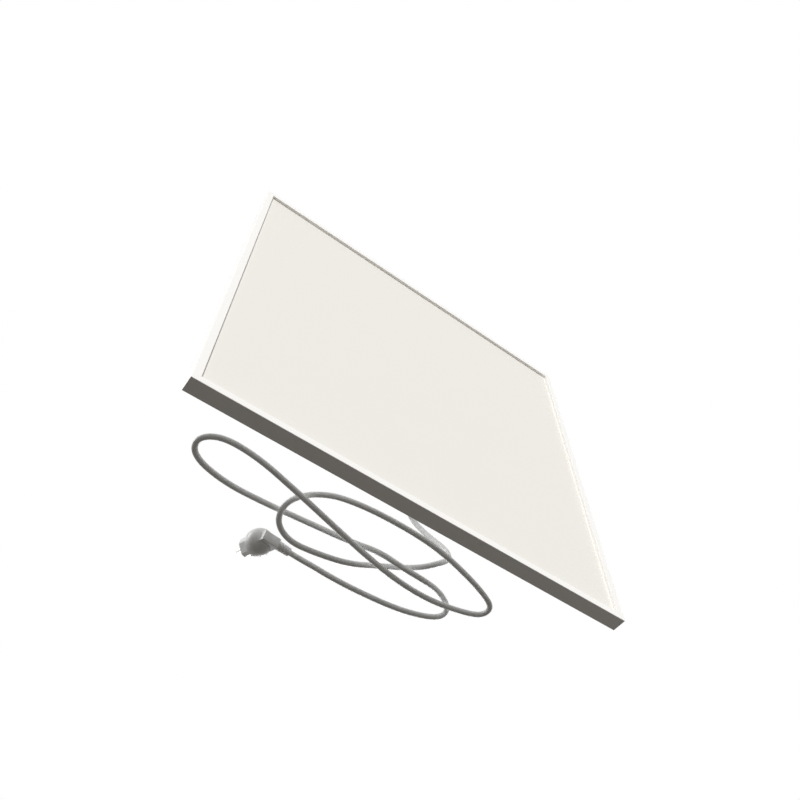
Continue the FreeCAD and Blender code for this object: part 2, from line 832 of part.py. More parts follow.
# Thermal cut-out with its moving contact arm
contact_strip_back = cutout_inside + contact_strip_thickness
fixed_contact_back = contact_strip_back + contact_height
arm_front = fixed_contact_back + contact_gap + contact_height
arm_root = pocket_x - arm_length / 2
contact_x = arm_root + contact_from_root
nodes["cutout_case"] = cutout_case()
lid_back = cutout_rim + cutout_lid_thickness
nodes["cutout_lid"] = slab(pocket_x, cutout_z, cutout_length, cutout_height, cutout_rim, lid_back)
strip = slab(contact_x, cutout_z, contact_strip_length, arm_width, cutout_inside, contact_strip_back)
button = rod(contact_radius, contact_x, cutout_z, contact_strip_back, fixed_contact_back)
nodes["cutout_fixed_contact"] = strip.fuse(button).removeSplitter()
arm = slab(pocket_x, cutout_z, arm_length, arm_width, arm_front, arm_front + arm_thickness)
arm_button = rod(contact_radius, contact_x, cutout_z, arm_front - contact_height, arm_front)
nodes["cutout_arm"] = arm.fuse(arm_button).removeSplitter()
cutout_tabs = []
tab_front = film_back + cutout_tab_lift
cutout_tab_x = cutout_length / 2 + cutout_tab_length / 2
for side in (-1, 1):
    x = pocket_x + side * cutout_tab_x
    back = tab_front + cutout_tab_thickness
    cutout_tabs.append(slab(x, cutout_z, cutout_tab_length, cutout_tab_width, tab_front, back))
nodes["cutout_tabs"] = Part.makeCompound(cutout_tabs)

# Wires
live_x, neutral_x = pole_places()
bore = frame_depth + block_bore_depth
block_low = block_z - block_height / 2
block_high = block_z + block_height / 2
core_start = total_depth - terminal_wall - bushing_collar_thickness
on_tab = track_back + tab_thickness + wire_radius + wire_touch
on_cutout_tab = tab_front + cutout_tab_thickness + wire_radius + wire_touch
wire_step = 3 * wire_radius
cutout_top = cutout_z + cutout_height / 2
nodes["live_core"] = wire([
    (bushing_x - wire_step, core_start, bushing_z - wire_radius),
    (bushing_x - wire_step, core_start - wire_radius, bushing_z - wire_radius),
    (bushing_x - 2 * wire_step, bore, block_low - 2 * wire_step),
    (live_x, bore, block_low - 2 * wire_step),
    (live_x, bore, block_low + wire_in_block),
])
nodes["neutral_core"] = wire([
    (bushing_x - wire_step / 2, core_start, bushing_z + wire_step),
    (bushing_x - wire_step / 2, core_start - wire_radius, bushing_z + wire_step),
    (bushing_x - 2 * wire_step, bore, block_low - wire_step + wire_radius),
    (neutral_x, bore, block_low - wire_step + wire_radius),
    (neutral_x, bore, block_low + wire_in_block),
])
on_ring = ring_back + wire_radius + wire_touch
tongue_end = earth_z - earth_tongue_length
nodes["earth_core"] = wire([
    (bushing_x + wire_step, core_start, bushing_z + wire_radius),
    (bushing_x + wire_step, core_start - wire_step, bushing_z + wire_radius),
    (earth_x, on_ring, tongue_end),
    (earth_x, on_ring, tongue_end + wire_in_block),
])
nodes["live_lead"] = wire([
    (live_x, bore, block_high - wire_in_block),
    (live_x, bore, block_high + wire_step),
    (grommet_x - grommet_wire_offset, grommet_back + wire_step, grommet_z),
    (grommet_x - grommet_wire_offset, grommet_front - wire_step, grommet_z),
    (pocket_x - wire_step, lid_back + wire_step, pocket_z + wire_step),
    (pocket_x + cutout_tab_x - wire_step, lid_back + wire_radius, cutout_top + wire_step),
    (pocket_x + cutout_tab_x, on_cutout_tab, cutout_z + cutout_tab_width),
    (pocket_x + cutout_tab_x, on_cutout_tab, cutout_z - cutout_tab_width / 2),
])
nodes["neutral_lead"] = wire([
    (neutral_x, bore, block_high - wire_in_block),
    (neutral_x, bore, block_high + wire_step),
    (grommet_x + grommet_wire_offset, grommet_back + wire_step, grommet_z),
    (grommet_x + grommet_wire_offset, grommet_front - wire_step, grommet_z),
    (track_pitch - wire_step, on_tab + 2 * wire_step, grommet_z - wire_step),
    (track_pitch, on_tab, pocket_z + tab_height),
    (track_pitch, on_tab, pocket_z - tab_height / 4),
])
nodes["cutout_link"] = wire([
    (pocket_x - cutout_tab_x, on_cutout_tab, cutout_z - cutout_tab_width / 2),
    (pocket_x - cutout_tab_x, on_cutout_tab, cutout_z + cutout_tab_width),
    (-track_pitch, on_tab, pocket_z - tab_height / 2),
    (-track_pitch, on_tab, pocket_z + tab_height / 2),
])

# Plug, laid so that its lowest point meets the surface
heading = FreeCAD.Rotation(FreeCAD.Vector(0, 0, 1), plug_heading)
tilt = FreeCAD.Rotation(FreeCAD.Vector(1, 0, 0), plug_pin_rise)
dip = FreeCAD.Rotation(FreeCAD.Vector(0, 1, 0), plug_cable_dip)
plug_turn = heading.multiply(tilt).multiply(dip)
plug_placement = FreeCAD.Placement(FreeCAD.Vector(plug_x, plug_y, 0), plug_turn)
lift = -plug_placed(plug_body()).optimalBoundingBox(False, False).ZMin
plug_placement.Base = FreeCAD.Vector(plug_x, plug_y, lift)
nodes["plug_body"] = plug_placed(plug_body())
nodes["plug_insert"] = plug_placed(plug_insert())
nodes["plug_pins"] = plug_placed(plug_pins())
nodes["plug_earth_contacts"] = plug_placed(plug_earth_contacts())
nodes["plug_tail"] = plug_placed(plug_tail())

# Cord
nodes["cord_bushing"] = cord_bushing()
tail_end = plug_placement.multVec(FreeCAD.Vector(spine_end + tail_length, -cable_depth, 0))
tail_axis = plug_placement.Rotation.multVec(FreeCAD.Vector(1, 0, 0))
tail_lead_point = tail_end + tail_axis * tail_lead
route = [FreeCAD.Vector(*point) for point in cord_route] + [tail_lead_point, tail_end]
nodes["power_cord"], cord_length, cord_radii = tube(route, cord_radius)
section_area = math.pi * cord_radius ** 2
print("cord length %.1f mm" % cord_length)
volume_ratio = nodes["power_cord"].Volume / (section_area * cord_length)
print("cord volume over section times length %.5f" % volume_ratio)
print("cord bend radii", [round(radius, 1) for radius in cord_radii])
for point in (plug_placement.Base, tail_lead_point, tail_end):
    print("plug place and last two cord points", [round(value, 2) for value in point])

os.makedirs("parts", exist_ok=True)
for name, shape in nodes.items():
    shape.exportStep(os.path.join("parts", name + ".step"))
print(len(nodes), "nodes")
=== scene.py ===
import bpy
import json
import math
import numpy as np
from mathutils import Matrix, Vector


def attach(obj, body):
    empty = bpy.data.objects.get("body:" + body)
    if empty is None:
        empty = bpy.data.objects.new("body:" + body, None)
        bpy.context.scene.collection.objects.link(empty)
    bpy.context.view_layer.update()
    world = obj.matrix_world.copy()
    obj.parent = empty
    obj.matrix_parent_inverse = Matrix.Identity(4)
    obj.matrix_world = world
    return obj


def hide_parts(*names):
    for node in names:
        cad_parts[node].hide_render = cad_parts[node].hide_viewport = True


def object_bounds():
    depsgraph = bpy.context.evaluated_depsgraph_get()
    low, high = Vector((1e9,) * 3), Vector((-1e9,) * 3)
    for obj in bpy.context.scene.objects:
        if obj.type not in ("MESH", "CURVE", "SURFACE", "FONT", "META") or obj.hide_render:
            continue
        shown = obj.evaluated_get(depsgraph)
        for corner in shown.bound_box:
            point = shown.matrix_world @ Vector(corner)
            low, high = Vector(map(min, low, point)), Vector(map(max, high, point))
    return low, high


# Infrared panel heater on its lower edge, its white cord in loose loops behind it.
# Metres, in the frame of the solids: X along the width, -Y out of the radiant face, +Z up.

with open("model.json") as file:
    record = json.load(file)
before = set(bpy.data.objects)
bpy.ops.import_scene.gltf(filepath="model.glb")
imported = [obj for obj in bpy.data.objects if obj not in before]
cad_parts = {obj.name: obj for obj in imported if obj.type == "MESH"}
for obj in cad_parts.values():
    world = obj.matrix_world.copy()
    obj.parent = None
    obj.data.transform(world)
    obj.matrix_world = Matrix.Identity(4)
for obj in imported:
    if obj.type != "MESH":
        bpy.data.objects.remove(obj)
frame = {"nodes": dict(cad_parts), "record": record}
solid_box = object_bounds()
scene = bpy.context.scene
scene.view_settings.view_transform = "Standard"

# Camera, found from the panel's corners in the photograph
camera_place = (-0.375, -0.480, -0.722)
camera_turn = math.radians(35.92)
camera_rise = math.radians(58.19)
camera_roll = math.radians(-0.34)
camera_lens = 37.25
sensor_width = 36.0

# Cord
cord_radius = 0.0035
cord_round_steps = 8
cord_line_steps = 12
cord_line_order = 3
cord_route = [
    (0.025, 0.04, 0.14),
    (0.025, 0.056, 0.14),
    (0.033, 0.072, 0.132),
    (0.045, 0.078, 0.114),
    (0.056, 0.073, 0.094),
    (0.067, 0.061, 0.068),
    (0.076, 0.049, 0.046),
    (0.077, 0.043, 0.024),
    (0.066, 0.047, 0.014),
    (0.047, 0.073, 0.015),
    (0.008, 0.095, 0.015),
    (-0.027, 0.104, 0.004),
    (-0.067, 0.112, 0.0036),
    (-0.105, 0.115, 0.0036),
    (-0.133, 0.0955, 0.0036),
    (-0.133, 0.068, 0.0145),
    (-0.104, 0.0385, 0.014),
    (-0.066, 0.022, 0.004),
    (-0.009, 0.02, 0.0036),
    (0.044, 0.024, 0.0036),
    (0.098, 0.038, 0.0036),
    (0.137, 0.052, 0.0036),
    (0.1545, 0.063, 0.0036),
    (0.153, 0.0795, 0.0036),
    (0.132, 0.0885, 0.0036),
    (0.085, 0.0965, 0.0036),
    (0.031, 0.0925, 0.0036),
    (-0.023, 0.08, 0.0036),
    (-0.081, 0.0635, 0.0036),
    (-0.138, 0.047, 0.0036),
    (-0.193, 0.0325, 0.0036),
    (-0.239, 0.0305, 0.0036),
    (-0.26, 0.0485, 0.0036),
    (-0.25, 0.0715, 0.0036),
    (-0.205, 0.0835, 0.004),
    (-0.151, 0.091, 0.015),
    (-0.097, 0.087, 0.015),
    (-0.04, 0.083, 0.015),
    (-0.004, 0.076, 0.015),
    (0.03, 0.0725, 0.004),
    (0.06, 0.074, 0.004),
    (0.09, 0.086, 0.0155),
    (0.1115, 0.0965, 0.0155),
    (0.121, 0.108, 0.014),
    (0.1145, 0.117, 0.008),
    (0.093, 0.1235, 0.004),
    (0.057, 0.1316, 0.0036),
    (-0.001, 0.1346, 0.0036),
    (-0.038, 0.134, 0.0042),
    (-0.06, 0.1334, 0.006),
    (-0.07966, 0.13354, 0.00722),
    (-0.09161, 0.13253, 0.0076),
]
cord_exit = cord_route[0]

# Where the fixings sit: depths along Y, places as X and Z
back_face = 0.002
panel_width = solid_box[1][0] - solid_box[0][0]
panel_height = solid_box[1][2] - solid_box[0][2]
panel_middle = panel_height / 2
screw_row = 0.00525
screw_place_shares = (-0.42, 0.0, 0.42)
box_screw_places = [(-0.0305, 0.1225), (0.0405, 0.1695)]
box_screw_seat = 0.0158
insert_reach = 0.2
insert_steps = (-insert_reach, insert_reach)
insert_places = [(step, panel_middle + rise) for step in insert_steps for rise in insert_steps]
cover_screw_places = []
for share in screw_place_shares:
    x = share * panel_width
    z = panel_middle + share * panel_height
    cover_screw_places += [(x, screw_row), (x, panel_height - screw_row)]
    cover_screw_places += [(screw_row - panel_width / 2, z), (panel_width / 2 - screw_row, z)]

# Pan-head screws with a cross recess
head_radius = 0.0028
head_height = 0.0018
head_roundness = 3.4
head_rows = 24
head_turns = 72
shank_radius = 0.00145
cover_shank = 0.006
box_shank = 0.018
cross_depth = 0.001
cross_half_width = 0.00034
cross_reach = 0.00155
cross_edge = 0.00012
cross_end_slope = 0.0006
cross_turn_step = 0.7

# Cord bushing, a sleeve with staggered slots that ends where the cord leaves
bushing_x, sleeve_tip, bushing_z = cord_exit
bushing_outline = [
    (0.013, 0.0075),
    (0.016, 0.0075),
    (0.016, 0.006),
    (0.018, 0.006),
    (0.018, 0.0075),
    (0.0197, 0.0075),
    (0.02, 0.0072),
    (0.02, 0.0062),
]
sleeve_tip_radius = 0.0046
sleeve_rows = 150
sleeve_turns = 72
slot_rings = 6
slot_share = 0.45
slot_depth_share = 0.2
slot_opening = 0.3
slot_edge = 0.12

# Threaded inserts
insert_flange_back = 0.003
insert_flange_radius = 0.0065
insert_flange_edge = 0.0003
insert_body_radius = 0.0045
insert_front = -0.009
bore_radius = 0.0025
thread_depth = 0.0005
thread_pitch = 0.001
thread_run_out = 0.0015
bore_chamfer = 0.0006
thread_rows = 120
insert_turns = 48

# Floor and light
floor_radius = 4.0
floor_height = -0.0004
floor_rings = 12
floor_turns = 72
floor_colour = (0.9, 0.9, 0.9, 1)
white = (1, 1, 1, 1)
sky_strength = 0.52
ground_colour = (0.087, 0.08, 0.071)
horizon_low = -0.05
horizon_high = 0.2
key_strength = 2.48
key_from = (-0.46, -1.0, 0.15)
side_strength = 1.25
side_from = (-0.8, 0.5, 0.65)
back_strength = 1.3
back_from = (0.7, 1.0, 0.4)
key_softness = math.radians(12)
fill_softness = math.radians(35)

# Shared by the computed pieces
sharp_angle = math.radians(38)
middle_share = 0.5

# Grain and clouds of all finishes
grain_detail = 3
cloud_detail = 5
roughness_change = 0.08

# Kinds of surface
kinds = {
    "coat": {
        "roughness": 0.36, "grain_scale": 2600, "grain_height": 0.00002,
        "cloud_scale": 9, "tint_amount": 0.4, "metallic": 0,
    },
    "plate_coat": {
        "roughness": 0.74, "grain_scale": 1500, "grain_height": 0.00006,
        "cloud_scale": 9, "tint_amount": 0.4, "metallic": 0,
    },
    "cover_coat": {
        "roughness": 0.42, "grain_scale": 2200, "grain_height": 0.00004,
        "cloud_scale": 9, "tint_amount": 0.5, "metallic": 0,
    },
    "moulding": {
        "roughness": 0.45, "grain_scale": 1900, "grain_height": 0.00005,
        "cloud_scale": 40, "tint_amount": 0.5, "metallic": 0,
    },
    "gloss_moulding": {
        "roughness": 0.32, "grain_scale": 2000, "grain_height": 0.00002,
        "cloud_scale": 40, "tint_amount": 0.5, "metallic": 0,
    },
    "sheath": {
        "roughness": 0.4, "grain_scale": 900, "grain_height": 0.000008,
        "cloud_scale": 30, "tint_amount": 0.5, "metallic": 0,
    },
    "foam": {
        "roughness": 0.85, "grain_scale": 1600, "grain_height": 0.00015,
        "cloud_scale": 60, "tint_amount": 0.7, "metallic": 0,
    },
    "fibre": {
        "roughness": 0.9, "grain_scale": 500, "grain_height": 0.0006,
        "cloud_scale": 70, "tint_amount": 0.8, "metallic": 0,
    },
    "film": {
        "roughness": 0.2, "grain_scale": 600, "grain_height": 0.00001,
        "cloud_scale": 25, "tint_amount": 0.5, "metallic": 0,
    },
    "foil": {
        "roughness": 0.12, "grain_scale": 90, "grain_height": 0.0001,
        "cloud_scale": 15, "tint_amount": 0.5, "metallic": 1,
    },
    "metal": {
        "roughness": 0.28, "grain_scale": 2500, "grain_height": 0.00001,
        "cloud_scale": 100, "tint_amount": 0.5, "metallic": 1,
    },
    "plating": {
        "roughness": 0.14, "grain_scale": 3000, "grain_height": 0.00001,
        "cloud_scale": 120, "tint_amount": 0.4, "metallic": 1,
    },
}

# Each slot's kind of surface, its colour and the tint that clouds it
slot_finishes = {
    "frame_white": ("coat", (0.955, 0.942, 0.918), (0.935, 0.918, 0.89)),
    "plate_cream": ("plate_coat", (0.848, 0.827, 0.778), (0.834, 0.81, 0.757)),
    "cover_white": ("cover_coat", (0.84, 0.84, 0.825), (0.79, 0.79, 0.77)),
    "key_aluminium": ("metal", (0.7, 0.7, 0.72), (0.58, 0.58, 0.6)),
    "film_amber": ("film", (0.62, 0.38, 0.08), (0.5, 0.28, 0.05)),
    "track_metal": ("metal", (0.55, 0.52, 0.48), (0.42, 0.4, 0.37)),
    "foil_bright": ("foil", (0.8, 0.8, 0.82), (0.7, 0.7, 0.72)),
    "board_fibre": ("fibre", (0.72, 0.68, 0.55), (0.55, 0.5, 0.37)),
    "screw_steel": ("metal", (0.62, 0.62, 0.64), (0.48, 0.48, 0.5)),
    "contact_brass": ("metal", (0.76, 0.6, 0.3), (0.62, 0.46, 0.2)),
    "box_white": ("moulding", (0.85, 0.85, 0.835), (0.8, 0.8, 0.78)),
    "block_ivory": ("moulding", (0.8, 0.78, 0.7), (0.74, 0.71, 0.62)),
    "cutout_black": ("moulding", (0.06, 0.06, 0.06), (0.09, 0.09, 0.09)),
    "seal_grey": ("foam", (0.3, 0.3, 0.31), (0.22, 0.22, 0.23)),
    "cord_white": ("sheath", (0.87, 0.88, 0.88), (0.83, 0.835, 0.83)),
    "plug_white": ("gloss_moulding", (0.89, 0.895, 0.89), (0.85, 0.855, 0.85)),
    "pin_nickel": ("plating", (0.78, 0.77, 0.75), (0.66, 0.64, 0.61)),
    "earth_dark": ("moulding", (0.02, 0.02, 0.02), (0.03, 0.03, 0.03)),
    "wire_brown": ("sheath", (0.25, 0.12, 0.05), (0.2, 0.09, 0.04)),
    "wire_blue": ("sheath", (0.08, 0.2, 0.5), (0.06, 0.16, 0.42)),
    "wire_green": ("sheath", (0.35, 0.55, 0.1), (0.75, 0.7, 0.1)),
}


def make_camera():
    """The camera looks along its forward direction, which is turned from +Y and raised from the level."""
    forward = Vector((
        math.sin(camera_turn) * math.cos(camera_rise),
        math.cos(camera_turn) * math.cos(camera_rise),
        math.sin(camera_rise),
    ))
    level = Vector((math.cos(camera_turn), -math.sin(camera_turn), 0))
    upward = level.cross(forward)
    right = level * math.cos(camera_roll) + upward * math.sin(camera_roll)
    up = upward * math.cos(camera_roll) - level * math.sin(camera_roll)
    data = bpy.data.cameras.new("camera")
    data.lens = camera_lens
    data.sensor_width = sensor_width
    camera = bpy.data.objects.new("camera", data)
    turn = Matrix((right, up, -forward)).transposed().to_4x4()
    camera.matrix_world = Matrix.Translation(camera_place) @ turn
    scene.collection.objects.link(camera)
    scene.camera = camera


def make_sun(name, strength, comes_from, softness):
    """A soft distant lamp that shines from a direction towards the origin."""
    data = bpy.data.lights.new(name, "SUN")
    data.energy = strength
    data.angle = softness
    lamp = bpy.data.objects.new(name, data)
    lamp.rotation_euler = Vector(comes_from).to_track_quat("Z", "Y").to_euler()
    scene.collection.objects.link(lamp)


def make_world():
    """White to the eye and to gloss; as light, a bright upper half and a dim lower half."""
    world = bpy.data.worlds.new("studio")
    scene.world = world
    world.use_nodes = True
    nodes = world.node_tree.nodes
    links = world.node_tree.links
    nodes.clear()
    coordinates = nodes.new("ShaderNodeTexCoord")
    split = nodes.new("ShaderNodeSeparateXYZ")
    links.new(coordinates.outputs["Generated"], split.inputs["Vector"])
    height = nodes.new("ShaderNodeMapRange")
    height.interpolation_type = "SMOOTHSTEP"
    height.inputs["From Min"].default_value = horizon_low
    height.inputs["From Max"].default_value = horizon_high
    links.new(split.outputs["Z"], height.inputs["Value"])
    halves = nodes.new("ShaderNodeMix")
    halves.data_type = "RGBA"
    links.new(height.outputs["Result"], halves.inputs["Factor"])
    colours = [socket for socket in halves.inputs if socket.type == "RGBA"]
    colours[0].default_value = (*ground_colour, 1)
    colours[1].default_value = (sky_strength, sky_strength, sky_strength, 1)
    mixed = [socket for socket in halves.outputs if socket.type == "RGBA"][0]
    rays = nodes.new("ShaderNodeLightPath")
    seen = nodes.new("ShaderNodeMath")
    seen.operation = "MAXIMUM"
    links.new(rays.outputs["Is Camera Ray"], seen.inputs[0])
    links.new(rays.outputs["Is Glossy Ray"], seen.inputs[1])
    clear = nodes.new("ShaderNodeMath")
    clear.operation = "MAXIMUM"
    links.new(seen.outputs["Value"], clear.inputs[0])
    links.new(rays.outputs["Is Transmission Ray"], clear.inputs[1])
    lighting = nodes.new("ShaderNodeBackground")
    links.new(mixed, lighting.inputs["Color"])
    backdrop = nodes.new("ShaderNodeBackground")
    backdrop.inputs["Color"].default_value = white
    choice = nodes.new("ShaderNodeMixShader")
    links.new(clear.outputs["Value"], choice.inputs["Fac"])
    links.new(lighting.outputs["Background"], choice.inputs[1])
    links.new(backdrop.outputs["Background"], choice.inputs[2])
    output = nodes.new("ShaderNodeOutputWorld")
    links.new(choice.outputs["Shader"], output.inputs["Surface"])


def make_floor():
    """A round pale floor: rings of points at radius r and angle a about a middle point. From ring to ring
    r grows as a square, up to the rim. The faces turn up, and from below the floor is clear."""
    radius = np.linspace(0, 1, floor_rings)[1:, None] ** 2 * floor_radius
    angle = np.linspace(0, 2 * math.pi, floor_turns, endpoint=False)
    across = radius * np.cos(angle)
    along = radius * np.sin(angle)
    rings = np.stack([across, along, np.full_like(across, floor_height)], -1)
    points = np.concatenate([[[0, 0, floor_height]], rings.reshape(-1, 3)])
    step = np.arange(floor_turns)
    ahead = (step + 1) % floor_turns
    fan = np.stack([np.zeros_like(step), 1 + step, 1 + ahead], -1)
    bands = 1 + stacked_faces(len(radius), floor_turns)[:, ::-1]
    mesh = bpy.data.meshes.new("floor")
    mesh.from_pydata(points.tolist(), [], fan.tolist() + bands.tolist())
    floor = bpy.data.objects.new("floor", mesh)
    scene.collection.objects.link(floor)
    material = bpy.data.materials.new("floor")
    material.use_nodes = True
    nodes = material.node_tree.nodes
    links = material.node_tree.links
    nodes.clear()
    surface = nodes.new("ShaderNodeBsdfDiffuse")
    surface.inputs["Color"].default_value = floor_colour
    clear = nodes.new("ShaderNodeBsdfTransparent")
    geometry = nodes.new("ShaderNodeNewGeometry")
    rays = nodes.new("ShaderNodeLightPath")
    above = nodes.new("ShaderNodeMath")
    above.operation = "SUBTRACT"
    above.use_clamp = True
    links.new(rays.outputs["Is Camera Ray"], above.inputs[0])
    links.new(geometry.outputs["Backfacing"], above.inputs[1])
    choice = nodes.new("ShaderNodeMixShader")
    links.new(above.outputs["Value"], choice.inputs["Fac"])
    links.new(clear.outputs["BSDF"], choice.inputs[1])
    links.new(surface.outputs["BSDF"], choice.inputs[2])
    output = nodes.new("ShaderNodeOutputMaterial")
    links.new(choice.outputs["Shader"], output.inputs["Surface"])
    mesh.materials.append(material)


def surface_group():
    """Shared finish: fine grain as a height, and slow cloudy variation of colour and roughness."""
    group = bpy.data.node_groups.new("surface_finish", "ShaderNodeTree")
    face = group.interface
    for name in ("Grain Scale", "Cloud Scale", "Tint Amount", "Roughness", "Roughness Change"):
        face.new_socket(name, in_out="INPUT", socket_type="NodeSocketFloat")
    face.new_socket("Colour", in_out="INPUT", socket_type="NodeSocketColor")
    face.new_socket("Tint", in_out="INPUT", socket_type="NodeSocketColor")
    face.new_socket("Colour", in_out="OUTPUT", socket_type="NodeSocketColor")
    face.new_socket("Roughness", in_out="OUTPUT", socket_type="NodeSocketFloat")
    face.new_socket("Height", in_out="OUTPUT", socket_type="NodeSocketFloat")
    nodes = group.nodes
    links = group.links
    given = nodes.new("NodeGroupInput")
    made = nodes.new("NodeGroupOutput")
    coordinates = nodes.new("ShaderNodeTexCoord")
    grain = nodes.new("ShaderNodeTexNoise")
    grain.inputs["Detail"].default_value = grain_detail
    links.new(coordinates.outputs["Object"], grain.inputs["Vector"])
    links.new(given.outputs["Grain Scale"], grain.inputs["Scale"])
    cloud = nodes.new("ShaderNodeTexNoise")
    cloud.inputs["Detail"].default_value = cloud_detail
    links.new(coordinates.outputs["Object"], cloud.inputs["Vector"])
    links.new(given.outputs["Cloud Scale"], cloud.inputs["Scale"])
    amount = nodes.new("ShaderNodeMath")
    amount.operation = "MULTIPLY"
    links.new(cloud.outputs["Fac"], amount.inputs[0])
    links.new(given.outputs["Tint Amount"], amount.inputs[1])
    tint = nodes.new("ShaderNodeMixRGB")
    links.new(amount.outputs["Value"], tint.inputs["Fac"])
    links.new(given.outputs["Colour"], tint.inputs["Color1"])
    links.new(given.outputs["Tint"], tint.inputs["Color2"])
    change = nodes.new("ShaderNodeMath")
    change.operation = "MULTIPLY_ADD"
    links.new(cloud.outputs["Fac"], change.inputs[0])
    links.new(given.outputs["Roughness Change"], change.inputs[1])
    links.new(given.outputs["Roughness"], change.inputs[2])
    links.new(tint.outputs["Color"], made.inputs["Colour"])
    links.new(change.outputs["Value"], made.inputs["Roughness"])
    links.new(grain.outputs["Fac"], made.inputs["Height"])
    return group


def finish(slot, kind, colour, tint):
    """A material whose colour, roughness and fine relief come from the shared finish."""
    material = bpy.data.materials.new(slot)
    material.use_nodes = True
    nodes = material.node_tree.nodes
    links = material.node_tree.links
    shader = nodes["Principled BSDF"]
    shader.inputs["Metallic"].default_value = kind["metallic"]
    shared = nodes.new("ShaderNodeGroup")
    shared.node_tree = shared_finish
    shared.inputs["Grain Scale"].default_value = kind["grain_scale"]
    shared.inputs["Cloud Scale"].default_value = kind["cloud_scale"]
    shared.inputs["Tint Amount"].default_value = kind["tint_amount"]
    shared.inputs["Roughness"].default_value = kind["roughness"]
    shared.inputs["Roughness Change"].default_value = roughness_change
    shared.inputs["Colour"].default_value = (*colour, 1)
    shared.inputs["Tint"].default_value = (*tint, 1)
    bump = nodes.new("ShaderNodeBump")
    bump.inputs["Distance"].default_value = kind["grain_height"]
    links.new(shared.outputs["Colour"], shader.inputs["Base Color"])
    links.new(shared.outputs["Roughness"], shader.inputs["Roughness"])
    links.new(shared.outputs["Height"], bump.inputs["Height"])
    links.new(bump.outputs["Normal"], shader.inputs["Normal"])
    return material


def dress(node, material):
    """Gives one solid its material."""
    mesh = frame["nodes"][node].data
    mesh.materials.clear()
    mesh.materials.append(material)


def make_cord(material):
    """One open smooth line that the route's points guide, with a round section as wide as the cord."""
    data = bpy.data.curves.new("mains_cord", "CURVE")
    data.dimensions = "3D"
    data.bevel_depth = cord_radius
    data.bevel_resolution = cord_round_steps
    data.resolution_u = cord_line_steps
    data.use_fill_caps = True
    line = data.splines.new("NURBS")
    line.points.add(len(cord_route) - 1)
    for point, place in zip(line.points, cord_route):
        point.co = (*place, 1)
    line.order_u = cord_line_order
    line.use_endpoint_u = True
    data.materials.append(material)
    cord = bpy.data.objects.new("mains_cord", data)
    scene.collection.objects.link(cord)
    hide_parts("power_cord")
    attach(cord, "panel")


def smooth_step(values):
    """Rises from 0 to 1 as the value goes from 0 to 1: 3 v squared less 2 v cubed, level outside."""
    held = np.clip(values, 0, 1)
    return held * held * (3 - 2 * held)


def inside_of(distance, edge):
    """1 well inside, 0 well outside and a half where the distance to the border is nothing."""
    return smooth_step(distance / edge + middle_share)


def stacked_faces(rows, turns):
    """Four-sided faces between each ring of points and the next, the last turn joined to the first."""
    step = np.arange(turns)
    ahead = (step + 1) % turns
    row = np.arange(rows - 1)[:, None] * turns
    corners = [row + step, row + ahead, row + turns + ahead, row + turns + step]
    return np.stack(corners, -1).reshape(-1, 4)


def pole_faces(rows, turns):
    """Triangles from the first ring to the first pole and from the last ring to the last pole."""
    step = np.arange(turns)
    ahead = (step + 1) % turns
    first = np.full(turns, rows * turns)
    last_row = (rows - 1) * turns
    start = np.stack([first, ahead, step], -1)
    stop = np.stack([first + 1, last_row + step, last_row + ahead], -1)
    return np.concatenate([start, stop])


def add_piece(name, points, face_groups, node, slot):
    """A closed mesh that stands for a solid. The faces turn outwards: the enclosed volume is positive."""
    enclosed = 0
    for group in face_groups:
        corner = points[group[:, 0]]
        one_side = points[group[:, 1]] - corner
        other_side = points[group[:, -1]] - corner
        enclosed += (points[group].mean(1) * np.cross(one_side, other_side)).sum()
    order = 1 if enclosed > 0 else -1
    faces = []
    for group in face_groups:
        faces += group[:, ::order].tolist()
    mesh = bpy.data.meshes.new(name)
    mesh.from_pydata(points.tolist(), [], faces)
    mesh.shade_smooth()
    mesh.set_sharp_from_angle(angle=sharp_angle)
    mesh.materials.append(finishes[slot])
    piece = bpy.data.objects.new(name, mesh)
    scene.collection.objects.link(piece)
    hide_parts(node)
    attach(piece, "panel")


def add_screws(name, places, seat, shank, node):
    """Screws along Y. Over the head, radius r and height h lie on a rounded square curve:
    (r over the head's radius) to the power n plus (h over its height) to the power n is 1. The cross
    is taken off h: its depth where a point lies within an arm's half width of either arm's middle line.
    Below the seat the shank is a plain bar."""
    share = np.sin(np.linspace(0, math.pi / 2, head_rows + 1))[1:]
    radius = head_radius * share
    height = head_height * np.clip(1 - share ** head_roundness, 0, 1) ** (1 / head_roundness)
    radius = np.concatenate([radius, [shank_radius, shank_radius]])
    height = np.concatenate([height, [0, -shank]])
    angle = np.linspace(0, 2 * math.pi, head_turns, endpoint=False)
    from_arm = radius[:, None] * np.minimum(abs(np.cos(angle)), abs(np.sin(angle)))
    inside = inside_of(cross_half_width - from_arm, cross_edge)
    inside *= smooth_step((cross_reach - radius[:, None]) / cross_end_slope)
    inside[head_rows:] = 0
    level = height[:, None] - cross_depth * inside
    rows = len(radius)
    points = []
    faces = [[], []]
    for number, (x, z) in enumerate(places):
        turn = angle + number * cross_turn_step
        ring = np.stack([
            x + radius[:, None] * np.cos(turn),
            seat + level,
            z + radius[:, None] * np.sin(turn),
        ], -1)
        poles = np.array([[x, seat + head_height - cross_depth, z], [x, seat - shank, z]])
        screw = np.concatenate([ring.reshape(-1, 3), poles])
        before = number * len(screw)
        points.append(screw)
        faces[0].append(before + stacked_faces(rows, head_turns))
        faces[1].append(before + pole_faces(rows, head_turns))
    groups = [np.concatenate(group) for group in faces]
    add_piece(name, np.concatenate(points), groups, node, "screw_steel")


